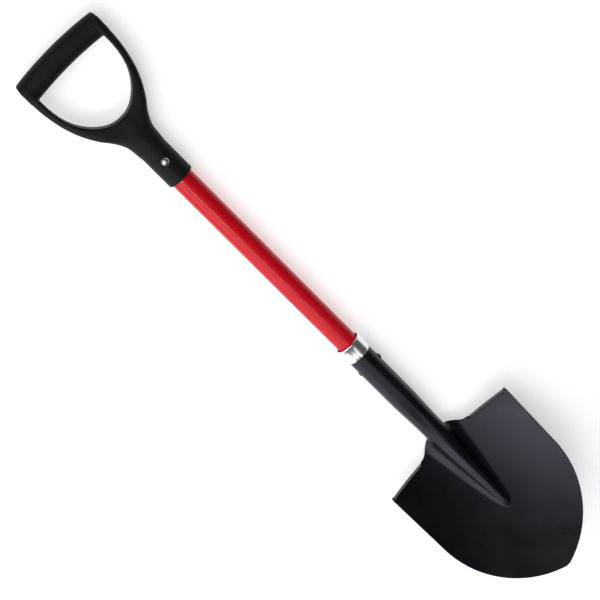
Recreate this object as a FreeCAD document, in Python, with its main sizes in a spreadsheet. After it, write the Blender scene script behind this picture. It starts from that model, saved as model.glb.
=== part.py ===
import FreeCAD, Part
import math
import os
import Sketcher

# Round-point garden shovel with a D-handle, lying face up.
# +X runs along the shaft to the blade's tip, +Z is up out of the blade's face, and Y is across.
# The origin is on the ground, under the middle of the shovel. Lengths are in millimetres.
# Inside the pieces, x is counted from the back of the D-grip and z from the shaft's axis.

Vector = FreeCAD.Vector

DRIVING_SIZES = [
    ("overall_length", 1000, "back of the crossbar to the tip of the blade"),
    ("axis_height", 21.35, "shaft axis above the ground; the grip rivet's peened end is the lowest point"),
    ("shaft_radius", 16, "outside of the fibreglass tube"),
    ("shaft_bore_radius", 12.5, "inside of the fibreglass tube"),
    ("shaft_start", 161, "upper end of the tube, inside the D-grip"),
    ("shaft_end", 688, "lower end of the tube, inside the socket"),
    ("slide_clearance", 0.1, "radial play between two pieces that slide together"),
    ("core_length", 76, "length of each plug that backs up a rivet inside the tube"),
    ("core_chamfer", 1.5, "lead-in on the plugs"),
    ("grip_half_width", 68.2, "half of the D-grip across the hands"),
    ("grip_depth", 31, "thickness of the D-grip, front to back"),
    ("grip_outer_rounding", 5, "rounding of the D-grip's outer edges"),
    ("grip_inner_rounding", 3, "rounding round the hand opening"),
    ("crossbar_depth", 33.5, "crossbar along the shaft"),
    ("crossbar_bow", 5, "how far the crossbar bows towards the hand"),
    ("grip_inner_half_width", 58, "half of the hand opening"),
    ("grip_crotch", 126, "end of the hand opening, towards the shaft"),
    ("sleeve_start", 176, "where the grip's sleeve gets its full radius"),
    ("sleeve_end", 235, "mouth of the grip's sleeve"),
    ("sleeve_radius", 19.4, "outside of the sleeve"),
    ("grip_rivet_place", 203, "grip rivet along the shaft"),
    ("grip_rivet_radius", 2.5, "shank of the grip rivet"),
    ("grip_rivet_head_radius", 5.3, "domed head of the grip rivet"),
    ("grip_rivet_head_height", 3, "height of the dome"),
    ("socket_start", 572, "upper end of the rolled socket, inside the collar"),
    ("socket_radius", 18.2, "outside of the rolled socket"),
    ("socket_neck_radius", 15.9, "outside of the socket at the neck"),
    ("sheet_thickness", 1.8, "pressed steel sheet of the blade and its socket"),
    ("socket_rivet_place", 607, "socket rivet along the shaft"),
    ("socket_rivet_radius", 2.75, "shank of the socket rivet"),
    ("socket_rivet_head_radius", 4.4, "flat-domed head of the socket rivet"),
    ("socket_rivet_head_height", 1.4, "height of that head"),
    ("washer_radius", 4.8, "burr under a peened rivet end"),
    ("washer_thickness", 0.8, "burr under a peened rivet end"),
    ("peened_radius", 3.5, "peened end of a rivet"),
    ("peened_height", 1.2, "peened end of a rivet"),
    ("collar_start", 560, "lip of the plated collar"),
    ("collar_length", 24.5, "collar along the shaft"),
    ("collar_wall", 0.7, "sheet of the collar"),
    ("collar_lip_radius", 20.6, "outside of the rolled lip"),
    ("collar_lip_bead", 1.5, "radius of the rolled lip's bead"),
    ("shoulder_place", 764, "foot steps, square to the shaft"),
    ("neck_place", 746, "where the blade's wings leave the socket"),
    ("blade_half_width", 111.5, "half of the blade at the shoulders"),
    ("blade_side_half_width", 109, "half of the blade where the sides turn in"),
    ("blade_side_end", 860, "where the sides turn in"),
    ("blade_lift_angle", 19, "rise of the blade against the shaft, in degrees"),
    ("blade_base_drop", 0.2, "face of the blade below the axis at the shoulders"),
    ("dish_depth", 22, "rise of the blade's corners above its middle"),
    ("dish_flattening", 0.72, "share of the dish that is gone at the tip"),
    ("frog_end", 888, "rounded end of the raised frog"),
    ("frog_end_radius", 3.6, "crest of the frog where it ends"),
    ("frog_cover", 0.4, "how far the frog's crest lies outside the socket it runs out of"),
    ("frog_foot_radius", 15.5, "concave foot of the frog at the shoulders"),
    ("frog_end_foot_radius", 8, "concave foot of the frog where it ends"),
    ("frog_fullness", 0.85, "1 for a straight crest, less for a crest that bulges"),
    ("bend_start", 700, "where the socket starts to bend up"),
    ("bend_rise", 4.8, "rise of the socket's axis from there to the shoulders"),
    ("seam_width", 1.2, "gap between the rolled socket's edges, at the back"),
    ("step_height", 10, "foot step above the face"),
    ("step_inner", 44, "inner end of a foot step, from the middle"),
    ("step_chamfer", 6.5, "slope at both ends of a foot step"),
]


def fill_sheet(doc):
    """Keep the driving dimensions in one spreadsheet, one alias to a row."""
    table = doc.addObject("Spreadsheet::Sheet", "sizes")
    for row, (name, value, meaning) in enumerate(DRIVING_SIZES, start=1):
        table.set(f"A{row}", str(value))
        table.setAlias(f"A{row}", name)
        table.set(f"B{row}", meaning)
    doc.recompute()
    return table


doc = FreeCAD.newDocument("garden_shovel")
sheet = fill_sheet(doc)


def size(name):
    """A driving dimension, read from the spreadsheet."""
    return float(sheet.get(name))


# ---------------------------------------------------------------- PartDesign helpers

def origin_feature(body, role):
    """One of the body's own planes or axes, by its role."""
    return next(item for item in body.Origin.OriginFeatures if item.Role == role)


def new_body(label):
    body = doc.addObject("PartDesign::Body", label)
    body.Label = label
    return body


def new_sketch(body, name, plane):
    sketch = body.newObject("Sketcher::SketchObject", name)
    sketch.AttachmentSupport = [(origin_feature(body, plane), "")]
    sketch.MapMode = "FlatFace"
    return sketch


def bind_point(sketch, geometry, place, corner):
    """Tie one end of a sketch line to two spreadsheet expressions."""
    for kind, text in zip(("DistanceX", "DistanceY"), corner):
        value = sketch.evalExpression(text)
        index = sketch.addConstraint(Sketcher.Constraint(kind, -1, 1, geometry, place, float(value)))
        sketch.setExpression(f"Constraints[{index}]", text)


def polygon_sketch(body, name, plane, corners):
    """A closed outline of straight lines, each corner given by two expressions."""
    sketch = new_sketch(body, name, plane)
    points = [Vector(*(float(sketch.evalExpression(text)) for text in corner), 0) for corner in corners]
    for start, end in zip(points, points[1:] + points[:1]):
        sketch.addGeometry(Part.LineSegment(start, end))
    for index in range(len(points)):
        sketch.addConstraint(Sketcher.Constraint("Coincident", index, 2, (index + 1) % len(points), 1))
    for index, corner in enumerate(corners):
        bind_point(sketch, index, 1, corner)
    return sketch


def circle_sketch(body, name, plane, centre, radii):
    """Concentric circles round a centre, all given by expressions."""
    sketch = new_sketch(body, name, plane)
    middle = Vector(*(float(sketch.evalExpression(text)) for text in centre), 0)
    for radius in radii:
        circle = sketch.addGeometry(Part.Circle(middle, Vector(0, 0, 1), float(sketch.evalExpression(radius))))
        bind_point(sketch, circle, 3, centre)
        value = float(sketch.evalExpression(radius))
        index = sketch.addConstraint(Sketcher.Constraint("Radius", circle, value))
        sketch.setExpression(f"Constraints[{index}]", radius)
    return sketch


def revolve(body, sketch, axis):
    feature = body.newObject("PartDesign::Revolution", sketch.Name + "_turned")
    feature.Profile = sketch
    feature.ReferenceAxis = (origin_feature(body, axis), [""])
    feature.Angle = 360
    return feature


def pad(body, sketch, length):
    feature = body.newObject("PartDesign::Pad", sketch.Name + "_pad")
    feature.Profile = sketch
    feature.setExpression("Length", length)
    return feature


def pocket_through(body, sketch):
    """Cut a sketch right through the body, to both sides of its plane."""
    feature = body.newObject("PartDesign::Pocket", sketch.Name + "_cut")
    feature.Profile = sketch
    feature.Type = "ThroughAll"
    feature.SideType = "Symmetric"
    return feature


def round_edges(body, feature, names, radius):
    fillet = body.newObject("PartDesign::Fillet", feature.Name + "_rounded")
    fillet.Base = (feature, names)
    fillet.setExpression("Radius", radius)
    return fillet


def place(item, along, across="0", up="0", rotation=None):
    """Put a piece in the shovel's frame; along counts from the back of the crossbar."""
    if rotation is not None:
        item.Placement = FreeCAD.Placement(Vector(0, 0, 0), rotation)
    item.setExpression("Placement.Base.x", f"{along} - sizes.overall_length / 2")
    item.setExpression("Placement.Base.y", across)
    item.setExpression("Placement.Base.z", f"sizes.axis_height + {up}")


# ---------------------------------------------------------------- shaft and its plugs

def build_shaft():
    """Fibreglass tube with a cross hole for each rivet."""
    body = new_body("shaft")
    ring = circle_sketch(body, "shaft_ring", "YZ_Plane", ("0", "0"),
                         ["sizes.shaft_radius", "sizes.shaft_bore_radius"])
    pad(body, ring, "sizes.shaft_end - sizes.shaft_start")
    grip_hole = circle_sketch(body, "shaft_grip_hole", "XY_Plane",
                              ("sizes.grip_rivet_place - sizes.shaft_start", "0"),
                              ["sizes.grip_rivet_radius + sizes.slide_clearance"])
    pocket_through(body, grip_hole)
    socket_hole = circle_sketch(body, "shaft_socket_hole", "XZ_Plane",
                                ("sizes.socket_rivet_place - sizes.shaft_start", "0"),
                                ["sizes.socket_rivet_radius + sizes.slide_clearance"])
    pocket_through(body, socket_hole)
    place(body, "sizes.shaft_start")
    return body


def build_core(label, rivet, rivet_plane, start):
    """Turned plug that keeps a rivet from crushing the tube."""
    body = new_body(label)
    radius = "sizes.shaft_bore_radius - sizes.slide_clearance"
    outline = polygon_sketch(body, label + "_outline", "XZ_Plane", [
        ("0", "0"),
        ("0", f"{radius} - sizes.core_chamfer"),
        ("sizes.core_chamfer", radius),
        ("sizes.core_length - sizes.core_chamfer", radius),
        ("sizes.core_length", f"{radius} - sizes.core_chamfer"),
        ("sizes.core_length", "0"),
    ])
    revolve(body, outline, "X_Axis")
    hole = circle_sketch(body, label + "_hole", rivet_plane, (f"sizes.{rivet}_place - ({start})", "0"),
                         [f"sizes.{rivet}_radius + sizes.slide_clearance"])
    pocket_through(body, hole)
    place(body, start)
    return body


# ---------------------------------------------------------------- rivets, burrs and collar

def build_rivet(label, rivet, head_seat, tail_seat, place_up, rotation):
    """Rivet on its own Z axis: domed head at the top, peened end over a burr at the bottom."""
    body = new_body(label)
    shank = f"sizes.{rivet}_radius"
    head = f"sizes.{rivet}_head_radius"
    head_top = f"{head_seat} + sizes.{rivet}_head_height"
    tail_top = f"-({tail_seat}) - sizes.washer_thickness"
    outline = polygon_sketch(body, label + "_outline", "XZ_Plane", [
        ("0", head_top),
        (head, head_top),
        (head, head_seat),
        (shank, head_seat),
        (shank, tail_top),
        ("sizes.peened_radius", tail_top),
        ("sizes.peened_radius", f"{tail_top} - sizes.peened_height"),
        ("0", f"{tail_top} - sizes.peened_height"),
    ])
    turned = revolve(body, outline, "Z_Axis")
    doc.recompute()
    dome = round_edges(body, turned, [rim_name(turned, body.evalExpression(head_top))],
                       f"sizes.{rivet}_head_height * 0.9")
    doc.recompute()
    tail_end = body.evalExpression(f"{tail_top} - sizes.peened_height")
    round_edges(body, dome, [rim_name(dome, tail_end)], "sizes.peened_height * 0.85")
    place(body, f"sizes.{rivet}_place", up=place_up, rotation=rotation)
    return body


def rim_name(feature, height):
    """Name of the circular edge at one height on a turned feature."""
    for index, edge in enumerate(feature.Shape.Edges, start=1):
        round_edge = isinstance(edge.Curve, Part.Circle)
        if round_edge and abs(edge.BoundBox.ZMin - height) < 1e-6 and abs(edge.BoundBox.ZMax - height) < 1e-6:
            return f"Edge{index}"
    raise RuntimeError(f"no rim at {height} on {feature.Label}")


def build_washer(label, rivet, seat, rotation):
    """Burr: the small washer under a peened end, on the rivet's Z axis."""
    body = new_body(label)
    ring = circle_sketch(body, label + "_ring", "XY_Plane", ("0", "0"),
                         ["sizes.washer_radius", f"sizes.{rivet}_radius + sizes.slide_clearance"])
    disc = pad(body, ring, "sizes.washer_thickness")
    disc.Reversed = True
    body_axis = rotation.multVec(Vector(0, 0, -1)) if rotation else Vector(0, 0, -1)
    across = f"({seat}) * {body_axis.y:.0f}"
    up = f"({seat}) * {body_axis.z:.0f}"
    place(body, f"sizes.{rivet}_place", across=across, up=up, rotation=rotation)
    return body


def build_collar():
    """Plated ring pressed over the socket's mouth: a cylinder that flares to a rolled lip."""
    collar = doc.addObject("Part::Feature", "socket_collar")
    collar.Label = "socket_collar"
    wall = size("collar_wall")
    inner = size("socket_radius") + size("slide_clearance") / 2
    length = size("collar_length")
    lip_inner = size("collar_lip_radius") - wall - size("collar_lip_bead") * 0.6
    flare_end = length * 0.62
    points_inside = [Vector(length, 0, inner), Vector(flare_end, 0, inner), Vector(0, 0, lip_inner)]
    points_outside = [point + Vector(0, 0, wall) for point in points_inside]
    wall_face = Part.Face(Part.makePolygon(
        points_outside + points_inside[::-1] + points_outside[:1]))
    turned = wall_face.revolve(Vector(0, 0, 0), Vector(1, 0, 0), 360)
    bead_radius = size("collar_lip_bead")
    bead = Part.makeTorus(size("collar_lip_radius") - bead_radius, bead_radius,
                          Vector(bead_radius, 0, 0), Vector(1, 0, 0))
    collar.Shape = turned.fuse(bead).removeSplitter()
    place(collar, "sizes.collar_start")
    return collar


# ---------------------------------------------------------------- D-grip

def mirrored_loop(edges):
    """Close a half outline (from the X axis round to the X axis) with its mirror image."""
    mirror = [edge.mirror(Vector(0, 0, 0), Vector(0, 1, 0)) for edge in edges]
    return Part.Wire(Part.__sortEdges__(edges + mirror))


def arc(start, middle, end):
    return Part.Arc(Vector(*start), Vector(*middle), Vector(*end)).toShape()


def line(start, end):
    return Part.LineSegment(Vector(*start), Vector(*end)).toShape()


def smooth_loop(half_outline):
    """Closed smooth curve through points that run from the X axis round to the X axis."""
    mirror = [(x, -y) for x, y in half_outline[-2:0:-1]]
    curve = Part.BSplineCurve()
    curve.interpolate(Points=[Vector(x, y, 0) for x, y in half_outline + mirror], PeriodicFlag=True)
    return Part.Wire(curve.toShape())


def grip_outline():
    """Outer edge of the D and its neck; the neck's end is hidden in the sleeve."""
    half = size("grip_half_width")
    bow = size("crossbar_bow")
    neck = size("sleeve_start")
    sleeve = size("sleeve_radius")
    return smooth_loop([
        (0, 0), (bow * 0.18, half * 0.44), (bow * 0.48, half * 0.7), (bow * 0.8, half * 0.88),
        (bow * 1.2, half * 0.95), (bow * 2, half * 0.99), (bow + 11, half), (29, half), (46, half * 0.998),
        (68, half * 0.957), (90, half * 0.88),
        (110, half * 0.762), (128, half * 0.61), (143, half * 0.45), (157, sleeve + 4.2),
        (neck - 7, sleeve), (neck + 4, sleeve * 0.8), (neck + 12, sleeve * 0.4), (neck + 14, 0),
    ])


def grip_opening():
    """Edge of the hand opening."""
    half = size("grip_inner_half_width")
    near = size("crossbar_depth")
    bow = size("crossbar_bow")
    crotch = size("grip_crotch")
    return smooth_loop([
        (near, 0), (near + bow * 0.25, half * 0.46), (near + bow * 0.7, half * 0.8),
        (near + bow * 1.1, half * 0.94), (near + bow + 5, half), (56, half * 0.995), (72, half * 0.955),
        (88, half * 0.865), (102, half * 0.72), (114, half * 0.525), (crotch - 3.2, half * 0.29), (crotch, 0),
    ])


def build_grip():
    """One moulding: a bowed crossbar and two arms round the hand opening, and a sleeve."""
    grip = doc.addObject("Part::Feature", "d_grip")
    grip.Label = "d_grip"
    depth = size("grip_depth")
    plate = extruded_both_ways(grip_outline(), depth)
    plate = plate.makeFillet(size("grip_outer_rounding"), flat_face_rims(plate))
    ring = plate.cut(extruded_both_ways(grip_opening(), depth + 2))
    ring = ring.makeFillet(size("grip_inner_rounding"), flat_face_rims(ring))
    sleeve_radius = size("sleeve_radius")
    cone_start = size("grip_crotch") + 7
    cone = Part.makeCone(depth * 0.4, sleeve_radius, size("sleeve_start") - cone_start,
                         Vector(cone_start, 0, 0), Vector(1, 0, 0))
    sleeve = Part.makeCylinder(sleeve_radius, size("sleeve_end") - size("sleeve_start"),
                               Vector(size("sleeve_start"), 0, 0), Vector(1, 0, 0))
    mouth = [edge for edge in sleeve.Edges if abs(edge.BoundBox.XMin - size("sleeve_end")) < 1e-6]
    sleeve = sleeve.makeFillet(1.8, mouth)
    bore_radius = size("shaft_radius") + size("slide_clearance")
    bore = Part.makeCylinder(bore_radius, size("sleeve_end") - size("shaft_start") + 1,
                             Vector(size("shaft_start"), 0, 0), Vector(1, 0, 0))
    hole = Part.makeCylinder(size("grip_rivet_radius") + size("slide_clearance"), 4 * sleeve_radius,
                             Vector(size("grip_rivet_place"), 0, -2 * sleeve_radius), Vector(0, 0, 1))
    grip.Shape = ring.fuse([cone, sleeve]).cut([bore, hole])
    place(grip, "0")
    return grip


def extruded_both_ways(loop, depth):
    """Solid of one depth, centred on the plane of a closed flat loop."""
    solid = Part.Face(loop).extrude(Vector(0, 0, depth))
    solid.translate(Vector(0, 0, -depth / 2))
    return solid


def flat_face_rims(solid):
    """The innermost loop of each flat face square to Z."""
    rims = []
    for face in solid.Faces:
        if abs(face.BoundBox.ZLength) < 1e-6:
            rims += min(face.Wires, key=lambda wire: wire.BoundBox.DiagonalLength).Edges
    return rims


# ---------------------------------------------------------------- blade

def lift_slope():
    return math.tan(math.radians(size("blade_lift_angle")))


def face_middle(x):
    """Height of the blade's face on its centre line, with no frog on it."""
    return (x - size("shoulder_place")) * lift_slope() - size("blade_base_drop")


def dish(x, y):
    """Rise of the blade's sides above its middle, flatter towards the tip."""
    along = (x - size("shoulder_place")) / (size("overall_length") - size("shoulder_place"))
    depth = size("dish_depth") * (1 - size("dish_flattening") * min(max(along, 0), 1))
    return depth * (y / size("blade_half_width")) ** 2


def socket_outer_radius(x):
    """The socket keeps its radius to the end of the shaft, then narrows to the neck."""
    narrowing = (x - size("shaft_end")) / (size("neck_place") - size("shaft_end"))
    narrowing = min(max(narrowing, 0), 1)
    return size("socket_radius") + narrowing * (size("socket_neck_radius") - size("socket_radius"))


def socket_axis(x):
    """The socket bends up gently between the end of the shaft and the shoulders."""
    share = (x - size("bend_start")) / (size("shoulder_place") - size("bend_start"))
    return size("bend_rise") * max(share, 0) ** 2


def frog_section(x):
    """Crest radius, foot fillet radius and height of the crest's centre above the face."""
    shoulder = size("shoulder_place")
    share = (x - shoulder) / (size("frog_end") - shoulder)
    start_foot = size("frog_foot_radius")
    if share <= 0:
        return socket_outer_radius(x) + size("frog_cover"), start_foot, socket_axis(x) - face_middle(x)
    if share >= 1:
        return 0, 0, 0
    start_radius = size("socket_neck_radius") + size("frog_cover")
    start_height = socket_axis(shoulder) - face_middle(shoulder) + start_radius
    radius = start_radius * (1 - share) + size("frog_end_radius") * share
    foot = start_foot * (1 - share) + size("frog_end_foot_radius") * share
    height = start_height * (1 - share) ** size("frog_fullness")
    return radius, foot, height - radius


def frog(x, y, inset):
    """Rise of the frog: a round crest that runs out into concave fillets on both sides."""
    radius, foot, centre = frog_section(x)
    radius -= inset
    foot += inset
    centre += inset
    spread = (radius + foot) ** 2 - (foot - centre) ** 2
    if radius <= 0 or spread <= 0:
        return 0
    half = math.sqrt(spread)
    across = abs(y)
    if across < half * radius / (radius + foot):
        return centre + math.sqrt(radius ** 2 - across ** 2)
    if across < half:
        return foot - math.sqrt(foot ** 2 - (half - across) ** 2)
    return 0


TRIM_MARGIN = 5


def sheet_limits():
    """Rear, front and side of the sheet before it is trimmed to its outline."""
    start = size("neck_place") - 4 * TRIM_MARGIN
    return start, size("overall_length") + TRIM_MARGIN, size("blade_half_width") + TRIM_MARGIN


def sheet_surface(inset):
    """Face of the pressed sheet (inset 0) or its back (inset = thickness), through a net of points."""
    drop = inset / math.cos(math.radians(size("blade_lift_angle")))
    start, end, half = sheet_limits()
    stations = 40
    count = 60
    crowding = 0.58
    net = []
    for station in range(stations + 1):
        x = start + (end - start) * station / stations
        row = []
        for index in range(count + 1):
            spread = 2 * index / count - 1
            y = half * ((1 - crowding) * spread + crowding * spread ** 3)
            row.append(Vector(x, y, face_middle(x) + dish(x, y) + frog(x, y, inset) - drop))
        net.append(row)
    surface = Part.BSplineSurface()
    surface.interpolate(net)
    return surface.toShape()


def side_edge(face, x=None, y=None):
    """The edge of a rectangular face that lies at one x or at one y."""
    for edge in face.Edges:
        box = edge.BoundBox
        if x is not None and abs(box.XMin - x) < 0.01 and abs(box.XMax - x) < 0.01:
            return edge
        if y is not None and abs(box.YMin - y) < 0.01 and abs(box.YMax - y) < 0.01:
            return edge
    raise RuntimeError("no such side")


def sheet_slab():
    """Solid between the sheet's face and back, before it is trimmed."""
    face = sheet_surface(0)
    back = sheet_surface(size("sheet_thickness"))
    start, end, half = sheet_limits()
    sides = [{"x": start}, {"x": end}, {"y": -half}, {"y": half}]
    walls = [Part.makeRuledSurface(side_edge(face, **side), side_edge(back, **side)) for side in sides]
    shell = Part.makeShell([face, back] + walls)
    shell.sewShape()
    solid = Part.makeSolid(shell)
    if solid.Volume < 0:
        solid.reverse()
    return solid


def blade_outline():
    """Plan of the blade: neck, wings, square shoulders, straight sides and a round point."""
    shoulder = size("shoulder_place")
    half = size("blade_half_width")
    turn = size("blade_side_end")
    side = size("blade_side_half_width")
    tip = size("overall_length")
    radius = ((tip - turn) ** 2 + side ** 2) / (2 * side)
    middle_angle = math.radians(45)
    point_middle = (turn + radius * math.sin(middle_angle), side - radius + radius * math.cos(middle_angle), 0)
    neck = size("neck_place")
    tube = size("socket_neck_radius") - 2
    plan = mirrored_loop([
        line((neck, 0, 0), (neck, tube, 0)),
        line((neck, tube, 0), (shoulder - 3, size("step_inner") - 10, 0)),
        arc((shoulder - 3, size("step_inner") - 10, 0), (shoulder - 0.9, size("step_inner") - 5.5, 0),
            (shoulder, size("step_inner"), 0)),
        line((shoulder, size("step_inner"), 0), (shoulder, half - 2, 0)),
        arc((shoulder, half - 2, 0), (shoulder + 0.6, half - 0.6, 0), (shoulder + 2, half, 0)),
        line((shoulder + 2, half, 0), (turn, side, 0)),
        arc((turn, side, 0), point_middle, (tip, 0, 0)),
    ])
    return Part.Face(plan)


def foot_step(sign):
    """Flange turned up along one shoulder, sloped at both ends."""
    shoulder = size("shoulder_place")
    inner = size("step_inner")
    outer = size("blade_half_width") - 2
    slope = size("step_chamfer")
    low = -size("sheet_thickness") * 0.5
    count = 8

    def edge_points(start, end, rise):
        points = []
        for index in range(count + 1):
            y = start + (end - start) * index / count
            points.append(Vector(shoulder, sign * y, face_middle(shoulder) + dish(shoulder, y) + rise))
        return points

    foot = edge_points(inner, outer, low)
    top = edge_points(inner + slope, outer - slope * 0.6, size("step_height"))
    foot_curve = Part.BSplineCurve()
    foot_curve.interpolate(foot)
    top_curve = Part.BSplineCurve()
    top_curve.interpolate(top)
    outline = Part.Wire([
        foot_curve.toShape(),
        Part.LineSegment(foot[-1], top[-1]).toShape(),
        top_curve.toShape(),
        Part.LineSegment(top[0], foot[0]).toShape(),
    ])
    return Part.Face(outline).extrude(Vector(size("sheet_thickness"), 0, 0))


def socket_solid(start, end, inset):
    """Round solid along the socket's axis, its radius less the inset: straight, then bent and tapered."""
    straight_end = size("shaft_end")
    straight = Part.makeCylinder(size("socket_radius") - inset, straight_end - start,
                                 Vector(start, 0, 0), Vector(1, 0, 0))
    rings = []
    steps = 6
    for index in range(steps + 1):
        x = straight_end + (end - straight_end) * index / steps
        circle = Part.Circle(Vector(x, 0, socket_axis(x)), Vector(1, 0, 0), socket_outer_radius(x) - inset)
        rings.append(Part.Wire(circle.toShape()))
    return straight.fuse(Part.makeLoft(rings, True, False))


def socket_tube():
    """Rolled socket: a tube whose underside is cut away on a slant where it opens into the blade."""
    start = size("socket_start")
    end = size("shoulder_place") + 4
    radius = size("socket_radius")
    tube = socket_solid(start, end, 0).cut(socket_solid(start - 1, end + 1, size("sheet_thickness")))
    below = -radius - 2
    corners = [Vector(size("neck_place") - 6, 0, below), Vector(end + 2, 0, below), Vector(end + 2, 0, -1.5)]
    wedge = Part.Face(Part.makePolygon(corners + corners[:1])).extrude(Vector(0, 4 * radius, 0))
    wedge.translate(Vector(0, -2 * radius, 0))
    seam_width = size("seam_width")
    seam = Part.makeBox(end - start + 2, seam_width, radius, Vector(start - 1, -seam_width / 2, -radius - 2))
    return tube.cut([wedge, seam])


def build_blade():
    """Pressed steel blade with its frog, foot steps and rolled socket, all one sheet."""
    blade = doc.addObject("Part::Feature", "blade")
    blade.Label = "blade"
    trim = blade_outline().extrude(Vector(0, 0, 200))
    trim.translate(Vector(0, 0, -80))
    pressing = sheet_slab().common(trim)
    steps = [foot_step(sign) for sign in (1, -1)]
    rivet_hole = Part.makeCylinder(size("socket_rivet_radius") + size("slide_clearance"),
                                   4 * size("socket_radius"),
                                   Vector(size("socket_rivet_place"), -2 * size("socket_radius"), 0),
                                   Vector(0, 1, 0))
    whole = pressing.fuse(steps + [socket_tube()]).cut(rivet_hole)
    blade.Shape = whole.Solids[0] if len(whole.Solids) == 1 else whole
    place(blade, "0")
    return blade


# ---------------------------------------------------------------- assembly and export

def build_all():
    turn_to_side = FreeCAD.Rotation(Vector(1, 0, 0), 90)
    grip_core_start = "sizes.shaft_start + 4"
    socket_core_start = "sizes.socket_rivet_place - sizes.core_length / 2"
    socket_seat = "sizes.socket_radius - 0.1"
    grip_seat = "sizes.sleeve_radius - 0.05"
    return [
        build_grip(),
        build_shaft(),
        build_core("grip_core", "grip_rivet", "XY_Plane", grip_core_start),
        build_core("socket_core", "socket_rivet", "XZ_Plane", socket_core_start),
        build_collar(),
        build_blade(),
        build_rivet("grip_rivet", "grip_rivet", grip_seat, grip_seat, "0", None),
        build_washer("grip_rivet_washer", "grip_rivet", grip_seat, None),
        build_rivet("socket_rivet", "socket_rivet", socket_seat, socket_seat, "0", turn_to_side),
        build_washer("socket_rivet_washer", "socket_rivet", socket_seat, turn_to_side),
    ]


def check_and_export(pieces):
    """Refuse to write anything unless every object of the document is sound."""
    doc.recompute()
    for item in doc.Objects:
        if {"Invalid", "Error"} & set(item.State):
            raise RuntimeError(f"{item.Name} failed: {item.State}")
    for piece in pieces:
        shape = piece.Shape
        if shape.isNull() or not shape.isValid() or shape.Volume <= 0:
            raise RuntimeError(f"{piece.Label} has no sound shape")
    os.makedirs("parts", exist_ok=True)
    for piece in pieces:
        piece.Shape.exportStep(f"parts/{piece.Label}.step")
        box = piece.Shape.BoundBox
        print(f"{piece.Label}: {len(piece.Shape.Solids)} solid, {piece.Shape.Volume / 1000:.2f} cm3, "
              f"x {box.XMin:.1f}..{box.XMax:.1f} y {box.YMin:.1f}..{box.YMax:.1f} "
              f"z {box.ZMin:.1f}..{box.ZMax:.1f}")


check_and_export(build_all())
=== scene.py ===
import math

import bpy
import numpy as np
from mathutils import Matrix, Vector, noise


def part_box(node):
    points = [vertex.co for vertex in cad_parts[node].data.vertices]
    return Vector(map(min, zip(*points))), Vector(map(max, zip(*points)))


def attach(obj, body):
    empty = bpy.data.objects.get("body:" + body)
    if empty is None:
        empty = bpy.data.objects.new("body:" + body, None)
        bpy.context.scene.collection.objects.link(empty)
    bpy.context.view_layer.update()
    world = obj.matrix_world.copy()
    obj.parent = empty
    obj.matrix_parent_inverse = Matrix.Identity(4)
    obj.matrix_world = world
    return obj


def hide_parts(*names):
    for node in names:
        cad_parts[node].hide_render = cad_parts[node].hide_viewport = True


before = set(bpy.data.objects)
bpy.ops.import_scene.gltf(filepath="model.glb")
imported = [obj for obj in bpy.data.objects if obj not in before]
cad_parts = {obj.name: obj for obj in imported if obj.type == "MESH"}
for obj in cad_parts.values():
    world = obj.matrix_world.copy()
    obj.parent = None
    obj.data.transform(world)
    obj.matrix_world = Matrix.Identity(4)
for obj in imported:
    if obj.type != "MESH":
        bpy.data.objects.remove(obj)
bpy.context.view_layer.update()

# Round-point garden shovel with a D-handle, lying face up on a pale floor.
# Shapes are worked out in millimetres: x from the back of the crossbar towards the tip, y across,
# z up from the shaft's axis. to_row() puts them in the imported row's frame, in metres.

MM = 0.001
SHAFT_START = 161.0
SHAFT_END = 688.0
SHAFT_RADIUS = 16.0
SHAFT_BORE_RADIUS = 12.5
SHAFT_FLUTES = 0.0022

shaft_low, shaft_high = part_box("shaft")
ORIGIN = np.array([shaft_low.x - SHAFT_START * MM, 0, (shaft_low.z + shaft_high.z) / 2])


def to_row(points):
    """The row's metres for points in millimetres."""
    return np.asarray(points, float) * MM + ORIGIN


def smoothstep(low, high, value):
    """0 below low, 1 above high, an eased rise between them."""
    share = min(max((value - low) / (high - low), 0), 1)
    return share * share * (3 - 2 * share)


# ---------------------------------------------------------------- meshes

def add_piece(name, points, faces, material, slot, node):
    """A smooth mesh that stands for one CAD node."""
    mesh = bpy.data.meshes.new(name)
    mesh.from_pydata([tuple(point) for point in to_row(points)], [], [list(face) for face in faces])
    mesh.polygons.foreach_set("use_smooth", [True] * len(mesh.polygons))
    mesh.materials.append(material)
    mesh.update()
    piece = bpy.data.objects.new(name, mesh)
    bpy.context.scene.collection.objects.link(piece)
    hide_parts(node)
    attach(piece, "root")
    return piece


def grid_faces(index):
    """Quads between neighbouring entries of a 2-D array of vertex numbers."""
    return [(index[i][j], index[i + 1][j], index[i + 1][j + 1], index[i][j + 1])
            for i in range(len(index) - 1) for j in range(len(index[0]) - 1)]


def lathe(profile, segments, uneven=None):
    """Turn a closed (x, radius) profile round the X axis; uneven(x, angle) scales the radius."""
    points = []
    faces = []
    count = len(profile)
    for turn in range(segments):
        angle = 2 * math.pi * turn / segments
        for x, radius in profile:
            reach = radius * (uneven(x, angle) if uneven else 1)
            points.append((x, reach * math.sin(angle), reach * math.cos(angle)))
    for turn in range(segments):
        here = turn * count
        there = (turn + 1) % segments * count
        for step in range(count):
            after = (step + 1) % count
            faces.append((here + step, here + after, there + after, there + step))
    return points, faces


def arc_points(centre_x, centre_r, radius, start, end, steps):
    """Points of an arc in a lathe profile, angles in degrees from +x towards +r."""
    turns = [math.radians(start + (end - start) * step / steps) for step in range(steps + 1)]
    return [(centre_x + radius * math.cos(turn), centre_r + radius * math.sin(turn)) for turn in turns]


# ---------------------------------------------------------------- pressed blade and socket

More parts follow.
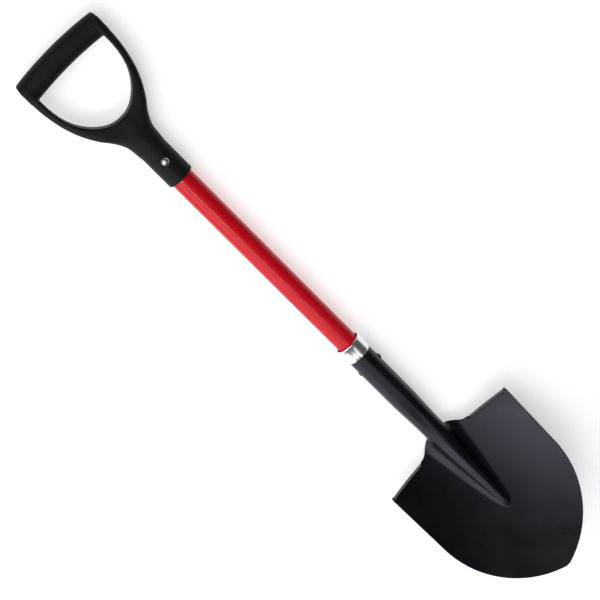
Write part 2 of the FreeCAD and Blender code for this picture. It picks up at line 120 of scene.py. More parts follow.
BLADE_TIP = 1000.0
SHOULDER = 764.0
NECK = 744.5
SIDE_END = 860.0
HALF_WIDTH = 111.5
SIDE_HALF_WIDTH = 109.0
LIFT = math.radians(19)
BASE_DROP = 0.2
DISH_DEPTH = 22.0
FROG_END = 888.0
FROG_END_RADIUS = 6.0
FROG_END_FOOT_RADIUS = 8.5
FROG_FULLNESS = 0.68
SHEET = 1.8
RIM_BULGE = 0.45
RIM_ALLOWANCE = 0.85
SOCKET_START = 572.0
SOCKET_RADIUS = 18.2
NECK_RADIUS = 16.2
FOOT_RADIUS = 20.0
POINT_RADIUS = ((BLADE_TIP - SIDE_END) ** 2 + SIDE_HALF_WIDTH ** 2) / (2 * SIDE_HALF_WIDTH)
STEP_INNER = 44.0
STEP_OUTER = 109.5
STEP_HEIGHT = 10.0
BEND_RADIUS = 1.2
BEND_LINE = SHOULDER + SHEET + BEND_RADIUS * (1 + math.sin(LIFT))
FULL_BEND = math.pi / 2 + LIFT
NECK_ANGLE = math.radians(79.9)
SEAM_ANGLE = math.radians(178.4)
BEND_START = 700.0
BEND_RISE = 4.8
CREST_ROWS = 14
FOOT_ROWS = 12
WRAP_ROWS = 26
PLAIN_FROG_HALF = 10.0
PLAIN_CREST_SHARE = 0.6
FROG_RELEASE = 40.0
FLAT_START = 790.0
DISH_FLATTENING = 0.72
NECK_TAPER_LEAD = 20.0
NECK_HALF = 16.0
WING_EDGE_HALF = 34.0
EDGE_LEAD = 3.5
EDGE_LEAD_LENGTH = 10.0
CORNER_CUT = 2.0
STEP_SLOPE = 6.5
STEP_OUTER_SLOPE = 3.9
STEP_BEND_LEAD = 2.0
STEP_BEND_RUN = 4.0
BEND_FADE_START = 107.0
BEND_FADE_END = 111.0
TIP_STOP = 4.0
PLAIN_SOCKET_END = 690.0
SEAM_CUT = 20.0
SEAM_CUT_POWER = 1.3
RIM_STEPS = 5

# Rows across a wing, as (first y, last y, rows): close together where a foot step starts or ends.
WING_GROUPS = [(31, 41, 7), (42, 52, 14), (55, 101, 19), (103, HALF_WIDTH, 14)]


def face_middle(x):
    """Height of the blade's face on its middle line, without the frog."""
    return (x - SHOULDER) * math.tan(LIFT) - BASE_DROP


def dish(x, y):
    """Rise of the blade's sides above its middle, flatter towards the tip."""
    along = min(max((x - SHOULDER) / (BLADE_TIP - SHOULDER), 0), 1)
    return DISH_DEPTH * (1 - DISH_FLATTENING * along) * (y / HALF_WIDTH) ** 2


def socket_axis(x):
    """The socket bends up gently between the end of the shaft and the shoulders."""
    share = (x - BEND_START) / (SHOULDER - BEND_START)
    return BEND_RISE * max(share, 0) ** 2


def socket_radius(x):
    """The socket narrows a little from the end of the shaft to the neck."""
    return SOCKET_RADIUS + smoothstep(SHAFT_END - NECK_TAPER_LEAD, NECK, x) * (NECK_RADIUS - SOCKET_RADIUS)


def frog_section(x):
    """Crest radius, foot radius, and height of the crest's centre above the face."""
    share = (x - SHOULDER) / (FROG_END - SHOULDER)
    if share <= 0:
        return NECK_RADIUS, FOOT_RADIUS, socket_axis(x) - face_middle(x)
    share = min(share, 1)
    start_height = socket_axis(SHOULDER) - face_middle(SHOULDER) + NECK_RADIUS
    radius = NECK_RADIUS * (1 - share) + FROG_END_RADIUS * share
    foot = FOOT_RADIUS * (1 - share) + FROG_END_FOOT_RADIUS * share
    return radius, foot, start_height * (1 - share) ** FROG_FULLNESS - radius


def frog_half(x):
    """Half-width of the frog with its concave feet."""
    radius, foot, centre = frog_section(x)
    return math.sqrt(max((radius + foot) ** 2 - (foot - centre) ** 2, 0))


def frog(x, y):
    """Height of the raised frog above the face."""
    radius, foot, centre = frog_section(x)
    half = frog_half(x)
    across = abs(y)
    if across < half * radius / (radius + foot):
        return centre + math.sqrt(max(radius ** 2 - across ** 2, 0))
    if across < half:
        return foot - math.sqrt(max(foot ** 2 - (half - across) ** 2, 0))
    return 0


def face_height(x, y):
    """Height of the pressed face: its middle line, the dish and the frog."""
    return face_middle(x) + dish(x, y) + frog(x, y)


def outline_half(x):
    """Half of the blade's width, less what the rounded rim adds."""
    if x <= SIDE_END:
        half = HALF_WIDTH - (HALF_WIDTH - SIDE_HALF_WIDTH) * max(x - SHOULDER, 0) / (SIDE_END - SHOULDER)
    else:
        half = SIDE_HALF_WIDTH - POINT_RADIUS + math.sqrt(max(POINT_RADIUS ** 2 - (x - SIDE_END) ** 2, 0))
    return half - RIM_ALLOWANCE


def edge_place(y):
    """x of the sheet's rear edge: round the neck, out along the wing, then square along the shoulder."""
    if y < NECK_HALF:
        return NECK
    if y < WING_EDGE_HALF:
        return NECK + (SHOULDER - EDGE_LEAD - NECK) * (y - NECK_HALF) / (WING_EDGE_HALF - NECK_HALF)
    if y < STEP_INNER:
        return SHOULDER - EDGE_LEAD * ((STEP_INNER - y) / EDGE_LEAD_LENGTH) ** 2
    if y < STEP_OUTER:
        return SHOULDER
    return SHOULDER + CORNER_CUT * ((y - STEP_OUTER) / CORNER_CUT) ** 2


def wing_rows():
    """Places of a wing's rows, as shares of its width."""
    across = np.concatenate([np.linspace(*group) for group in WING_GROUPS])
    return (across[1:] - across[0]) / (HALF_WIDTH - across[0])


WING_SHARES = wing_rows()
HALF_ROWS = CREST_ROWS + FOOT_ROWS + len(WING_SHARES)


def row_across(row, x):
    """y of one of the half's rows at x: rows follow the crest, its feet and the wing."""
    half = frog_half(x)
    radius, foot, _ = frog_section(x)
    slope_angle = math.asin(min(half / (radius + foot), 1))
    plain_half = PLAIN_FROG_HALF / outline_half(FROG_END)
    if row <= CREST_ROWS:
        share = row / CREST_ROWS
        shaped = radius * math.sin(slope_angle * share)
        plain = plain_half * PLAIN_CREST_SHARE * share
    elif row <= CREST_ROWS + FOOT_ROWS:
        share = (row - CREST_ROWS) / FOOT_ROWS
        shaped = half - foot * math.sin(slope_angle * (1 - share))
        plain = plain_half * (PLAIN_CREST_SHARE + (1 - PLAIN_CREST_SHARE) * share)
    else:
        share = WING_SHARES[row - CREST_ROWS - FOOT_ROWS - 1]
        shaped = half + share * (outline_half(x) - half)
        plain = plain_half + share * (1 - plain_half)
    release = smoothstep(FROG_END - FROG_RELEASE, FROG_END, x)
    return shaped * (1 - release) + plain * outline_half(x) * release


def bent_point(y, bend, travel):
    """Point of a foot step: the sheet bends up from the face round a small radius, then runs straight."""
    turn = min(bend, travel / BEND_RADIUS)
    start = -LIFT
    end = start + turn
    x = BEND_LINE - BEND_RADIUS * (math.sin(end) - math.sin(start))
    z = face_height(BEND_LINE, y) + BEND_RADIUS * (math.cos(start) - math.cos(end))
    straight = max(travel - BEND_RADIUS * bend, 0)
    return x - straight * math.cos(end), y, z + straight * math.sin(end)


def sheet_row(row, travel_shares, flat_places, long_places):
    """All points of one row of the half blade, from its rear edge to the point."""
    base = row_across(row, BEND_LINE)
    bend = FULL_BEND * smoothstep(STEP_INNER - STEP_BEND_LEAD, STEP_INNER + STEP_BEND_RUN, base)
    bend = bend * (1 - smoothstep(BEND_FADE_START, BEND_FADE_END, base))
    rise = min(max((base - STEP_INNER) / STEP_SLOPE, 0), 1)
    rise = rise * min(max((STEP_OUTER - base) / STEP_OUTER_SLOPE, 0), 1)
    full_travel = BEND_RADIUS * FULL_BEND + STEP_HEIGHT - (BEND_LINE - SHOULDER) * math.tan(LIFT)
    full_travel -= BEND_RADIUS * math.cos(LIFT)
    edge = edge_place(base)
    for _ in range(4):
        edge = edge_place(row_across(row, edge)) if bend == 0 else edge
    flat_travel = (BEND_LINE - edge) / math.cos(LIFT)
    travel = flat_travel + (full_travel - flat_travel) * rise
    points = []
    for share in travel_shares[:0:-1]:
        if bend > 0:
            points.append(bent_point(base, bend, travel * share))
        else:
            x = BEND_LINE - travel * share * math.cos(LIFT)
            y = row_across(row, x)
            points.append((x, y, face_height(x, y)))
    for x in list(flat_places) + list(long_places):
        y = row_across(row, x)
        points.append((x, y, face_height(x, y)))
    return points


def sheet_places():
    """Stations along the sheet: up the foot step, over the flat, down the sides and round the point."""
    travel_shares = [0, 0.04, 0.08, 0.12, 0.16, 0.2, 0.24, 0.32, 0.44, 0.58, 0.72, 0.86, 0.95, 1]
    flat_places = np.linspace(BEND_LINE, FLAT_START, 15)
    side_places = np.linspace(FLAT_START, SIDE_END, 36)[1:]
    end_turn = math.acos((POINT_RADIUS - SIDE_HALF_WIDTH + TIP_STOP) / POINT_RADIUS)
    point_places = SIDE_END + POINT_RADIUS * np.sin(np.linspace(0, end_turn, 92))[1:]
    return travel_shares, flat_places, np.concatenate([side_places, point_places])


def add_sheet(points):
    """Add the points of the whole face; returns their numbers by row and station."""
    places = sheet_places()
    index = []
    for row in range(-HALF_ROWS, HALF_ROWS + 1):
        sign = -1 if row < 0 else 1
        numbers = []
        for x, y, z in sheet_row(abs(row), *places):
            numbers.append(len(points))
            points.append((x, sign * y, z))
        index.append(numbers)
    return index


def add_socket(points, sheet_index):
    """Add the rolled socket, which shares its front rows' last points with the face."""
    index = []
    wrap = CREST_ROWS + WRAP_ROWS
    for row in range(-wrap, wrap + 1):
        sign = -1 if row < 0 else 1
        beyond = max(abs(row) - CREST_ROWS, 0) / WRAP_ROWS
        angle = NECK_ANGLE * min(abs(row) / CREST_ROWS, 1) + (SEAM_ANGLE - NECK_ANGLE) * beyond
        row_end = NECK - SEAM_CUT * beyond ** SEAM_CUT_POWER
        numbers = []
        for place in np.linspace(SOCKET_START, NECK, 70):
            x = place
            if place > PLAIN_SOCKET_END:
                share = (place - PLAIN_SOCKET_END) * (row_end - PLAIN_SOCKET_END)
                x = PLAIN_SOCKET_END + share / (NECK - PLAIN_SOCKET_END)
            radius = socket_radius(x)
            numbers.append(len(points))
            points.append((x, sign * radius * math.sin(angle), socket_axis(x) + radius * math.cos(angle)))
        if abs(row) <= CREST_ROWS:
            numbers[-1] = sheet_index[row + HALF_ROWS][0]
        index.append(numbers)
    return index


def blade_skin():
    """Front skin of the blade and outer skin of its socket, as points and quads."""
    points = []
    sheet_index = add_sheet(points)
    tube_index = add_socket(points, sheet_index)
    faces = [face[::-1] for face in grid_faces(sheet_index) + grid_faces(tube_index)]
    return drop_unused(points, faces)


def drop_unused(points, faces):
    """Leave out the points that no face uses, and number the rest afresh."""
    used = sorted({number for face in faces for number in face})
    place = {number: index for index, number in enumerate(used)}
    return np.array([points[number] for number in used]), [tuple(place[n] for n in face) for face in faces]


def skin_normals(points, faces):
    """Unit normals at the vertices of a skin of quads."""
    quads = np.array(faces)
    across = np.cross(points[quads[:, 2]] - points[quads[:, 0]], points[quads[:, 3]] - points[quads[:, 1]])
    normals = np.zeros_like(points)
    for corner in range(4):
        np.add.at(normals, quads[:, corner], across)
    return normals / np.linalg.norm(normals, axis=1)[:, None]


def rim_edges(faces):
    """Directed edges that only one face has."""
    edges = {(start, end): True for face in faces for start, end in zip(face, face[1:] + face[:1])}
    return [edge for edge in edges if edge[::-1] not in edges]


def rim_directions(points, normals, rim):
    """Directions out of the sheet at its rim."""
    outward = np.zeros_like(points)
    for start, end in rim:
        side = np.cross(points[end] - points[start], normals[start] + normals[end])
        side /= np.linalg.norm(side)
        outward[start] += side
        outward[end] += side
    return outward


def thicken(points, faces, thickness, bulge):
    """Give a skin a back, and a rounded rim that stands out by the bulge."""
    normals = skin_normals(points, faces)
    count = len(points)
    rim = rim_edges(faces)
    outward = rim_directions(points, normals, rim)
    solid = list(faces) + [tuple(number + count for number in face[::-1]) for face in faces]
    rim_points = sorted({number for edge in rim for number in edge})
    ring = {(number, 0): number for number in rim_points}
    ring.update({(number, RIM_STEPS): number + count for number in rim_points})
    extra = []
    for number in rim_points:
        side = outward[number] / np.linalg.norm(outward[number])
        for step in range(1, RIM_STEPS):
            turn = math.pi * step / RIM_STEPS
            ring[(number, step)] = 2 * count + len(extra)
            extra.append(points[number] + side * bulge * math.sin(turn)
                         - normals[number] * thickness * (1 - math.cos(turn)) / 2)
    for start, end in rim:
        for step in range(RIM_STEPS):
            solid.append((ring[(end, step)], ring[(start, step)],
                          ring[(start, step + 1)], ring[(end, step + 1)]))
    return np.concatenate([points, points - normals * thickness, np.array(extra)]), solid


# ---------------------------------------------------------------- D-grip

GRIP_HALF_WIDTH = 68.2
GRIP_HALF_DEPTH = 15.5
SLEEVE_END = 235.8
SLEEVE_RADIUS = 19.4
GRIP_RIVET_PLACE = 203.0
GRIP_STEP = 1.2

GRIP_OUTLINE = [
    (4, 0), (5, 31), (6.4, 51), (8, 61), (11, 66.6), (26, 68.2), (46, 68.0), (68, 65.3), (90, 60),
    (110, 52), (128, 41.6), (143, 30.7), (157, 23.6), (169, 19.4), (180, 15.5), (188, 7.8), (190, 0),
]
ARM_OPENING = [
    (-8, 0), (-8, 40), (-5, 55), (6, 57.6), (24, 58.1), (42, 58.2), (56, 57.7), (72, 55.4), (88, 50.2),
    (102, 41.8), (114, 30.5), (122.8, 16.8), (126, 0),
]
BAR_HALF_DEPTH = 16.75
BAR_BOW = 3.6
BAR_BOW_HALF = 61.0
BAR_END_ROUNDING = 4.0
BAR_JOIN = 2.5
ARM_INSET = 0.6
ARM_EDGE_RADIUS = 8.0
THROAT_START = 128.0
THROAT_END = 162.0
THROAT_ROUNDING = 7.2
ARM_START = 9.0
ARM_START_ROUNDING = 6.0
OPENING_ROUNDING = 2.8
CONE_START = 131.0
CONE_END = 180.0
CONE_RADIUS = 12.0
CONE_START_ROUNDING = 3.0
CONE_JOIN = 7.0
MOUTH_ROUNDING = 1.2
BORE_CLEARANCE = 0.15
BORE_ROUNDING = 1.0
OUTLINE_STEP = 0.5
CURVE_STEPS = 14


def closed_curve(half, steps):
    """Smooth closed curve through the points and their mirror images, as a fine polygon."""
    knots = np.array(half + [(x, -y) for x, y in half[-2:0:-1]], float)
    before = np.roll(knots, 1, axis=0)
    after = np.roll(knots, -1, axis=0)
    back = np.linalg.norm(knots - before, axis=1)[:, None]
    ahead = np.linalg.norm(after - knots, axis=1)[:, None]
    tangent = ((knots - before) / back * ahead + (after - knots) / ahead * back) / (back + ahead)
    curve = []
    for index in range(len(knots)):
        following = (index + 1) % len(knots)
        span = ahead[index]
        for step in range(steps):
            t = step / steps
            curve.append((2 * t ** 3 - 3 * t ** 2 + 1) * knots[index]
                         + (t ** 3 - 2 * t ** 2 + t) * span * tangent[index]
                         + (3 * t ** 2 - 2 * t ** 3) * knots[following]
                         + (t ** 3 - t ** 2) * span * tangent[following])
    return np.array(curve)


def signed_distance(loop, x, y):
    """Distance from a closed polygon in the plane, negative inside it."""
    nearest = np.full(x.shape, 1e9)
    inside = np.zeros(x.shape, bool)
    for (ax, ay), (bx, by) in zip(loop, np.roll(loop, -1, axis=0)):
        dx = bx - ax
        dy = by - ay
        share = np.clip(((x - ax) * dx + (y - ay) * dy) / (dx * dx + dy * dy), 0, 1)
        nearest = np.minimum(nearest, (x - ax - share * dx) ** 2 + (y - ay - share * dy) ** 2)
        if dy != 0:
            crosses = (ay > y) != (by > y)
            inside ^= crosses & (x < ax + (y - ay) * dx / dy)
    distance = np.sqrt(nearest)
    return np.where(inside, -distance, distance)


class Plan:
    def __init__(self, half, low, high, step):
        self.low = low
        self.step = step
        xs = np.arange(low[0], high[0] + step, step)
        ys = np.arange(low[1], high[1] + step, step)
        grid_x, grid_y = np.meshgrid(xs, ys, indexing="ij")
        self.values = signed_distance(closed_curve(half, CURVE_STEPS), grid_x, grid_y)

    def at(self, x, y):
        """Distance at any place, from the four grid values round it."""
        fx = np.clip((x - self.low[0]) / self.step, 0, self.values.shape[0] - 1.001)
        fy = np.clip((y - self.low[1]) / self.step, 0, self.values.shape[1] - 1.001)
        ix = fx.astype(int)
        iy = fy.astype(int)
        fx = fx - ix
        fy = fy - iy
        v = self.values
        return ((v[ix, iy] * (1 - fy) + v[ix, iy + 1] * fy) * (1 - fx)
                + (v[ix + 1, iy] * (1 - fy) + v[ix + 1, iy + 1] * fy) * fx)


def rounded_meet(a, b, radius):
    """Inside both a and b, with the edge between them rounded."""
    outside = np.hypot(np.maximum(a + radius, 0), np.maximum(b + radius, 0)) - radius
    return np.where(np.maximum(a, b) > -radius, outside, np.maximum(a, b))


def blended_join(a, b, radius):
    """Inside a or b, with a fillet between them."""
    return -rounded_meet(-a, -b, radius)


def eased(low, high, x):
    """smoothstep() for arrays."""
    share = np.clip((x - low) / (high - low), 0, 1)
    return share * share * (3 - 2 * share)


def crossbar_field(x, y, z):
    """Bowed bar of oval section, its ends only lightly rounded."""
    middle = BAR_HALF_DEPTH + BAR_BOW * (y / BAR_BOW_HALF) ** 2
    oval = (np.hypot((x - middle) / BAR_HALF_DEPTH, z / GRIP_HALF_DEPTH) - 1) * GRIP_HALF_DEPTH
    return rounded_meet(oval, np.abs(y) - GRIP_HALF_WIDTH, BAR_END_ROUNDING)


def arms_field(outer, opening, x, y, z):
    """Two arms that run together into the neck: round outside, a small radius round the opening."""
    edge_radius = ARM_EDGE_RADIUS + THROAT_ROUNDING * eased(THROAT_START, THROAT_END, x)
    plate = rounded_meet(outer.at(x, y), np.abs(z) - GRIP_HALF_DEPTH + ARM_INSET, edge_radius)
    plate = rounded_meet(plate, ARM_START - x, ARM_START_ROUNDING)
    return rounded_meet(plate, -opening.at(x, y), OPENING_ROUNDING)


def grip_field(outer, opening, x, y, z):
    """Signed distance to the D-grip, near enough to its surface."""
    ring = blended_join(arms_field(outer, opening, x, y, z), crossbar_field(x, y, z), BAR_JOIN)
    radial = np.hypot(y, z)
    cone_radius = CONE_RADIUS + (SLEEVE_RADIUS - CONE_RADIUS) * eased(CONE_START, CONE_END, x)
    sleeve = rounded_meet(radial - cone_radius, x - SLEEVE_END, MOUTH_ROUNDING)
    sleeve = rounded_meet(sleeve, CONE_START - x, CONE_START_ROUNDING)
    whole = blended_join(ring, sleeve, CONE_JOIN)
    bore = rounded_meet(radial - SHAFT_RADIUS - BORE_CLEARANCE, SHAFT_START - x, BORE_ROUNDING)
    return np.maximum(whole, -bore)


def cell_centres(values):
    """Mean place of the surface in each cell of a grid that it crosses, and how often it cuts an edge."""
    size = np.array(values.shape) - 1
    total = np.zeros(tuple(size) + (3,))
    count = np.zeros(tuple(size))
    corners = [(i, j, k) for i in (0, 1) for j in (0, 1) for k in (0, 1)]

    def part(corner):
        return values[tuple(slice(c, c + s) for c, s in zip(corner, size))]

    for axis in range(3):
        for corner in [one for one in corners if one[axis] == 0]:
            other = tuple(c + (1 if index == axis else 0) for index, c in enumerate(corner))
            a = part(corner)
            b = part(other)
            cut = (a < 0) != (b < 0)
            share = np.where(cut, a / np.where(cut, a - b, 1), 0)
            for index in range(3):
                total[..., index] += cut * (corner[index] + (share if index == axis else 0))
            count += cut
    return total, count


def net_faces(inside, number):
    """A quad round every grid edge that the surface cuts, facing out."""
    size = np.array(number.shape)
    faces = []
    for axis in range(3):
        first, second = [index for index in range(3) if index != axis]
        crossing = np.argwhere(inside != np.roll(inside, -1, axis=axis))
        keep = (crossing[:, first] > 0) & (crossing[:, second] > 0)
        keep &= (crossing[:, axis] < size[axis]) & (crossing[:, first] < size[first])
        keep &= crossing[:, second] < size[second]
        crossing = crossing[keep]
        step_first = np.eye(3, dtype=int)[first]
        step_second = np.eye(3, dtype=int)[second]
        ring = [crossing, crossing - step_first, crossing - step_first - step_second,
                crossing - step_second]
        quads = np.stack([number[tuple(corner.T)] for corner in ring], axis=1)
        leaving = inside[tuple(crossing.T)]
        flip = leaving if axis != 1 else ~leaving
        quads[~flip] = quads[~flip][:, ::-1]
        faces.append(quads)
    return np.concatenate(faces)


def settled(field, points, step):
    """Move points onto the zero surface of a field, along its gradient."""
    tiny = 0.02
    for _ in range(3):
        value = field(*points.T)
        gradient = np.stack([
            (field(*(points + tiny * direction).T) - value) / tiny for direction in np.eye(3)], axis=1)
        length = np.maximum((gradient ** 2).sum(axis=1), 0.25)
        move = np.clip(value / length, -step, step)
        points = points - gradient * move[:, None] * 0.9
    return points


def surface_nets(field, low, high, step):
    """Quads on the zero surface of a field, with the vertices moved onto it."""
    axes = [np.arange(low[axis], high[axis] + step, step) for axis in range(3)]
    values = field(*np.meshgrid(*axes, indexing="ij"))
    total, count = cell_centres(values)
    active = count > 0
    number = np.full(active.shape, -1)
    number[active] = np.arange(active.sum())
    points = (np.argwhere(active) + total[active] / count[active][:, None]) * step + np.array(low)
    return settled(field, points, step), net_faces(values < 0, number).tolist()


def grip_mesh():
    """Points and quads of the D-grip's surface."""
    low = (-12.0, -72.0, -22.0)
    high = (238.0, 72.0, 22.0)
    outer = Plan(GRIP_OUTLINE, low[:2], high[:2], OUTLINE_STEP)
    opening = Plan(ARM_OPENING, low[:2], high[:2], OUTLINE_STEP)

    def field(x, y, z):
        return grip_field(outer, opening, x, y, z)

    return surface_nets(field, low, high, GRIP_STEP)


# ---------------------------------------------------------------- turned pieces

def shaft_mesh():
    """Fibreglass tube whose skin shows the run of its fibres as very shallow lengthwise flutes."""
    outer = [(x, SHAFT_RADIUS - 0.05) for x in np.linspace(SHAFT_START, SHAFT_END, 90)]
    inner = [(x, SHAFT_BORE_RADIUS) for x in np.linspace(SHAFT_END, SHAFT_START, 12)]

    def uneven(x, angle):
        place = Vector((x * 0.004, 3.2 * math.sin(angle), 3.2 * math.cos(angle)))
        return 1 + SHAFT_FLUTES * noise.noise(place)

    return lathe(outer + inner, 128, uneven)


COLLAR_START = 560.0
COLLAR_DENTS = 0.0002
SOCKET_RIVET_PLACE = 607.0
PEEN_RADIUS = 3.5
PEEN_HEIGHT = 1.2
HAMMER_MARKS = 0.05
WASHER_THICKNESS = 0.8
WASHER_RADIUS = 4.8


def collar_mesh():
    """Plated ring round the socket's mouth, its upper end flared and rolled to a lip."""
    outer = [(24.5, 18.5), (24.3, 18.85), (23.8, 18.95), (19, 18.97), (15.5, 19.0), (12.5, 19.12),
             (9, 19.4), (6, 19.75), (3.6, 20.15)]
    lip = arc_points(1.55, 19.05, 1.5, 62, 292, 18)
    inner = [(4.2, 18.25), (7, 18.5), (11, 18.45), (15, 18.3), (24.2, 18.28)]
    profile = [(COLLAR_START + x, radius) for x, radius in outer + lip + inner]

    def uneven(x, angle):
        place = Vector((x * 0.08, 1.5 * math.sin(angle), 1.5 * math.cos(angle)))
        return 1 + COLLAR_DENTS * (noise.noise(place) - 0.3)

    return lathe(profile, 160, uneven)


def turned_rivet(head_radius, head_height, shank_radius, seat):
    """Rivet along its own axis x: a domed head on one seat, a hammered end on the washer at the other."""
    top = seat + head_height
    dome_radius = (head_radius ** 2 + head_height ** 2) / (2 * head_height)
    spread = math.degrees(math.asin(min(head_radius / dome_radius, 1)))
    dome = arc_points(top - dome_radius, 0, dome_radius, 0.5, spread, 14)
    tail = -seat - WASHER_THICKNESS
    profile = [(top, 0.001)] + dome[1:] + [(seat - 0.05, head_radius * 0.97), (seat - 0.1, shank_radius)]
    hammered = [(0, 0.96), (0.35, 1), (0.75, 0.86), (0.95, 0.6), (1, 0.25)]
    profile.append((tail, shank_radius))
    profile += [(tail - PEEN_HEIGHT * down, PEEN_RADIUS * out) for down, out in hammered]
    profile.append((tail - PEEN_HEIGHT, 0.001))

    def uneven(x, angle):
        if x > 0:
            return 1
        place = Vector((x * 0.6, 1.1 * math.sin(angle), 1.1 * math.cos(angle)))
        return 1 + HAMMER_MARKS * (noise.noise(place) - 0.5)

    return lathe(profile, 48, uneven)


def turned_washer(seat, bore):
    """Burr under a rivet's hammered end, its outer edges eased."""
    far = -seat - WASHER_THICKNESS
    profile = [(-seat, bore), (-seat, WASHER_RADIUS - 0.15), (-seat - 0.15, WASHER_RADIUS),
               (far + 0.2, WASHER_RADIUS), (far, WASHER_RADIUS - 0.25), (far, bore)]
    return lathe(profile, 48)


def stand_up(points, place, direction):
    """Turn a piece from its own x axis to +Z or -Y and set it at a place along the shaft."""
    points = np.array(points)
    if direction == "up":
        turned = np.stack([-points[:, 2], points[:, 1], points[:, 0]], axis=1)
    else:
        turned = np.stack([points[:, 2], -points[:, 0], points[:, 1]], axis=1)
    return turned + np.array([place, 0, 0])


# ---------------------------------------------------------------- materials

def new_material(name):
    """An empty material, its node tree and its shader."""
    material = bpy.data.materials.new(name)
    material.use_nodes = True
    return material, material.node_tree, material.node_tree.nodes["Principled BSDF"]


def noise_field(tree, scale, detail, stretch=(1, 1, 1), roughness=0.5):
    """Noise over the row's coordinates, stretched per axis."""
    coordinates = tree.nodes.new("ShaderNodeTexCoord")
    mapping = tree.nodes.new("ShaderNodeMapping")
    mapping.inputs["Scale"].default_value = stretch
    field = tree.nodes.new("ShaderNodeTexNoise")
    field.inputs["Scale"].default_value = scale
    field.inputs["Detail"].default_value = detail
    field.inputs["Roughness"].default_value = roughness
    tree.links.new(coordinates.outputs["Object"], mapping.inputs["Vector"])
    tree.links.new(mapping.outputs["Vector"], field.inputs["Vector"])
    return field.outputs["Fac"]


def colour_ramp(tree, factor, stops):
    """Colours between the (position, colour) stops, picked by a factor."""
    ramp = tree.nodes.new("ShaderNodeValToRGB")
    elements = ramp.color_ramp.elements
    while len(elements) < len(stops):
        elements.new(0.5)
    for element, (position, colour) in zip(elements, stops):
        element.position = position
        element.color = (*colour, 1)
    tree.links.new(factor, ramp.inputs["Fac"])
    return ramp.outputs["Color"]


def spread_value(tree, factor, low, high):
    """Map the middle of a noise field to a range of values."""
    mapped = tree.nodes.new("ShaderNodeMapRange")
    mapped.inputs["From Min"].default_value = 0.3
    mapped.inputs["From Max"].default_value = 0.7
    mapped.inputs["To Min"].default_value = low
    mapped.inputs["To Max"].default_value = high
    tree.links.new(factor, mapped.inputs["Value"])
    return mapped.outputs["Result"]


def add_bump(tree, shader, height, strength, distance, below=None):
    """Give the shader a bump, on top of the one below; returns its normal."""
    bump = tree.nodes.new("ShaderNodeBump")
    bump.inputs["Strength"].default_value = strength
    bump.inputs["Distance"].default_value = distance
    tree.links.new(height, bump.inputs["Height"])
    if below:
        tree.links.new(below, bump.inputs["Normal"])
    tree.links.new(bump.outputs["Normal"], shader.inputs["Normal"])
    return bump.outputs["Normal"]


def red_fibreglass():
    """Gloss red resin over glass fibres that run along the shaft."""
    material, tree, shader = new_material("red_fibreglass")
    streaks = noise_field(tree, 1, 4, (2.5, 420, 420), 0.6)
    colour = colour_ramp(tree, streaks, [(0.3, (0.54, 0.002, 0.008)), (0.52, (0.68, 0.003, 0.012)),
                                         (0.72, (0.77, 0.010, 0.020))])
    tree.links.new(colour, shader.inputs["Base Color"])
    tree.links.new(spread_value(tree, noise_field(tree, 1, 3, (8, 260, 260)), 0.22, 0.36),
                   shader.inputs["Roughness"])
    under = add_bump(tree, shader, streaks, 0.25, 0.0004)
    add_bump(tree, shader, noise_field(tree, 2600, 2), 0.04, 0.0002, under)
    shader.inputs["Specular IOR Level"].default_value = 0.12
    shader.inputs["Coat Weight"].default_value = 0.25
    shader.inputs["Coat Roughness"].default_value = 0.07
    return material


def zinc_plate():
    """Bright zinc plating, a little cloudy."""
    material, tree, shader = new_material("plated_steel")
    clouds = noise_field(tree, 140, 5)
    colour = colour_ramp(tree, clouds, [(0.3, (0.78, 0.80, 0.81)), (0.7, (0.90, 0.91, 0.91))])
    tree.links.new(colour, shader.inputs["Base Color"])
    tree.links.new(spread_value(tree, noise_field(tree, 60, 3), 0.22, 0.28), shader.inputs["Roughness"])
    add_bump(tree, shader, noise_field(tree, 1, 2, (60, 60, 60)), 0.01, 0.0001)
    shader.inputs["Metallic"].default_value = 1
    return material


def black_enamel():
    """Half-gloss black paint on pressed steel: orange peel, duller patches and a few rubbed specks."""
    material, tree, shader = new_material("black_painted_steel")
    specks = noise_field(tree, 520, 3, (1, 1, 1), 0.7)
    colour = colour_ramp(tree, specks, [(0.0, (0.0016, 0.0017, 0.0022)), (0.74, (0.0026, 0.0028, 0.0036)),
                                        (0.80, (0.06, 0.06, 0.058))])
    tree.links.new(colour, shader.inputs["Base Color"])
    tree.links.new(spread_value(tree, noise_field(tree, 26, 5), 0.27, 0.38), shader.inputs["Roughness"])
    under = add_bump(tree, shader, noise_field(tree, 420, 2), 0.10, 0.0004)
    add_bump(tree, shader, noise_field(tree, 1900, 3), 0.06, 0.0002, under)
    shader.inputs["Specular IOR Level"].default_value = 0.4
    shader.inputs["Specular Tint"].default_value = (0.80, 0.85, 1.0, 1)
    return material


def black_plastic():
    """Moulded black plastic with a fine grain and slightly polished patches."""
    material, tree, shader = new_material("black_plastic")
    clouds = noise_field(tree, 60, 4)
    colour = colour_ramp(tree, clouds, [(0.3, (0.0065, 0.0065, 0.0068)), (0.7, (0.0100, 0.0100, 0.0102))])
    tree.links.new(colour, shader.inputs["Base Color"])
    tree.links.new(spread_value(tree, noise_field(tree, 45, 4), 0.46, 0.60), shader.inputs["Roughness"])
    under = add_bump(tree, shader, noise_field(tree, 900, 3), 0.22, 0.0003)
    add_bump(tree, shader, noise_field(tree, 2600, 2), 0.12, 0.0002, under)
    shader.inputs["Specular IOR Level"].default_value = 0.14
    return material


